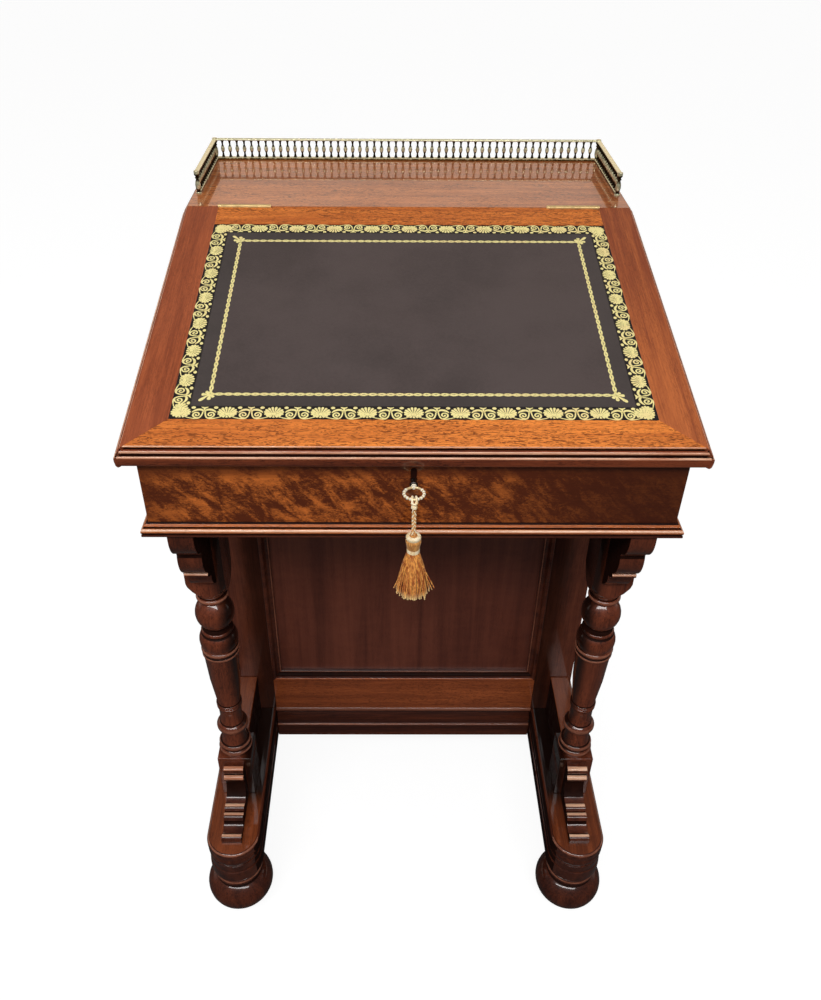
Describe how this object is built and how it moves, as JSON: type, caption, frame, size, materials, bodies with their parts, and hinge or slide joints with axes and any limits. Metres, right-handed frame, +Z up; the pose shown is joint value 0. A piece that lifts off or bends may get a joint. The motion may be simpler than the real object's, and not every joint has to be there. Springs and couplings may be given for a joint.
{
  "type": "davenport desk",
  "caption": "Small Victorian writing desk: sloping leather-topped lid on a box, turned front columns, side drawers, sledge base and brass gallery.",
  "frame": {"origin": "on the floor under the middle of the overall outline", "axes": "+X to the sitter's right, +Y to the back, +Z up"},
  "size_m": [0.5496, 0.6446, 0.87],
  "materials": {
    "mahogany": "french polished dark red mahogany",
    "lid_mahogany": "french polished bright mahogany",
    "figured_mahogany": "french polished figured veneer",
    "lining_wood": "waxed mahogany and oak linings",
    "leather": "dark hide with gilt tooling",
    "brass": "polished and lacquered",
    "key_metal": "worn brass bow on a steel shank",
    "silk": "gold silk fringe"
  },
  "bodies": {
    "carcass": {"back_frame": "mahogany", "back_panel": "lining_wood", "base_mouldings": "mahogany", "box_back": "mahogany", "box_bottom": "lining_wood", "box_front": "figured_mahogany", "box_side_left": "mahogany", "box_side_right": "mahogany", "bun_feet": "mahogany", "column_left": "mahogany", "column_right": "mahogany", "corbels": "mahogany", "cross_plinths": "mahogany", "drawer_guides": "lining_wood", "dummy_fronts": "mahogany", "dummy_knobs": "mahogany", "dust_boards": "lining_wood", "front_panel": "mahogany", "front_rails": "mahogany", "front_stile_left": "mahogany", "front_stile_right": "mahogany", "gallery_posts": "brass", "gallery_rails": "brass", "gallery_spindles": "brass", "hinge_leaves_fixed": "brass", "lock_case": "brass", "panel_mouldings": "mahogany", "pigeonholes": "lining_wood", "scroll_brackets": "mahogany", "side_board_left": "mahogany", "side_frame_left": "mahogany", "side_posts_right": "mahogany", "sledge_left": "mahogany", "sledge_right": "mahogany", "top_board": "lid_mahogany"},
    "lid": {"lid_front_rail": "lid_mahogany", "lid_rear_rail": "lid_mahogany", "lid_stile_left": "lid_mahogany", "lid_stile_right": "lid_mahogany", "lid_panel": "lining_wood", "writing_leather": "leather", "hinge_leaves_lid": "brass", "lock_staple": "brass"},
    "small_drawer_left": {"small_drawer_left": "lining_wood"},
    "small_drawer_right": {"small_drawer_right": "lining_wood"},
    "key": {"key": "key_metal", "cord_knot": "silk"},
    "lock_bolt": {"lock_bolt": "brass"},
    "tassel_collar": {"cord_collar": "silk"},
    "tassel": {"tassel_cord": "silk", "tassel_head": "silk", "tassel_skirt": "silk"},
    "drawer_1": {"drawer_1_box": "lining_wood", "drawer_1_front": "mahogany"},
    "drawer_2": {"drawer_2_box": "lining_wood", "drawer_2_front": "mahogany"},
    "drawer_3": {"drawer_3_box": "lining_wood", "drawer_3_front": "mahogany"},
    "drawer_4": {"drawer_4_box": "lining_wood", "drawer_4_front": "mahogany"}
  },
  "joints": [
    {"name": "lid_hinge", "type": "hinge", "parent": "carcass", "child": "lid", "pos_m": [0, 0.123, 0.842], "axis": [-1, 0, 0], "range_deg": [0, 95]},
    {"name": "drawer_1_slide", "type": "slide", "parent": "carcass", "child": "drawer_1", "axis": [1, 0, 0], "range_m": [0, 0.36]},
    {"name": "drawer_2_slide", "type": "slide", "parent": "carcass", "child": "drawer_2", "axis": [1, 0, 0], "range_m": [0, 0.36]},
    {"name": "drawer_3_slide", "type": "slide", "parent": "carcass", "child": "drawer_3", "axis": [1, 0, 0], "range_m": [0, 0.36]},
    {"name": "drawer_4_slide", "type": "slide", "parent": "carcass", "child": "drawer_4", "axis": [1, 0, 0], "range_m": [0, 0.36]},
    {"name": "small_drawer_left_slide", "type": "slide", "parent": "carcass", "child": "small_drawer_left", "axis": [0, -1, 0], "range_m": [0, 0.12]},
    {"name": "small_drawer_right_slide", "type": "slide", "parent": "carcass", "child": "small_drawer_right", "axis": [0, -1, 0], "range_m": [0, 0.12]},
    {"name": "key_turn", "type": "hinge", "parent": "carcass", "child": "key", "pos_m": [0, -0.2988, 0.717], "axis": [0, 1, 0], "range_deg": [0, 90]},
    {"name": "bolt_slide", "type": "slide", "parent": "carcass", "child": "lock_bolt", "axis": [1, 0, 0], "range_m": [0, 0.007]},
    {"name": "cord_turn", "type": "hinge", "parent": "key", "child": "tassel_collar", "pos_m": [0, -0.2988, 0.717], "axis": [0, 1, 0], "range_deg": [-90, 0]},
    {"name": "tassel_swing", "type": "hinge", "parent": "tassel_collar", "child": "tassel", "pos_m": [0, -0.302, 0.709], "axis": [1, 0, 0], "range_deg": [-20, 12]}
  ],
  "couplings": [
    {"joint": "bolt_slide", "follows": "key_turn", "m_per_rad": 0.0044563},
    {"joint": "cord_turn", "follows": "key_turn", "ratio": -1}
  ]
}
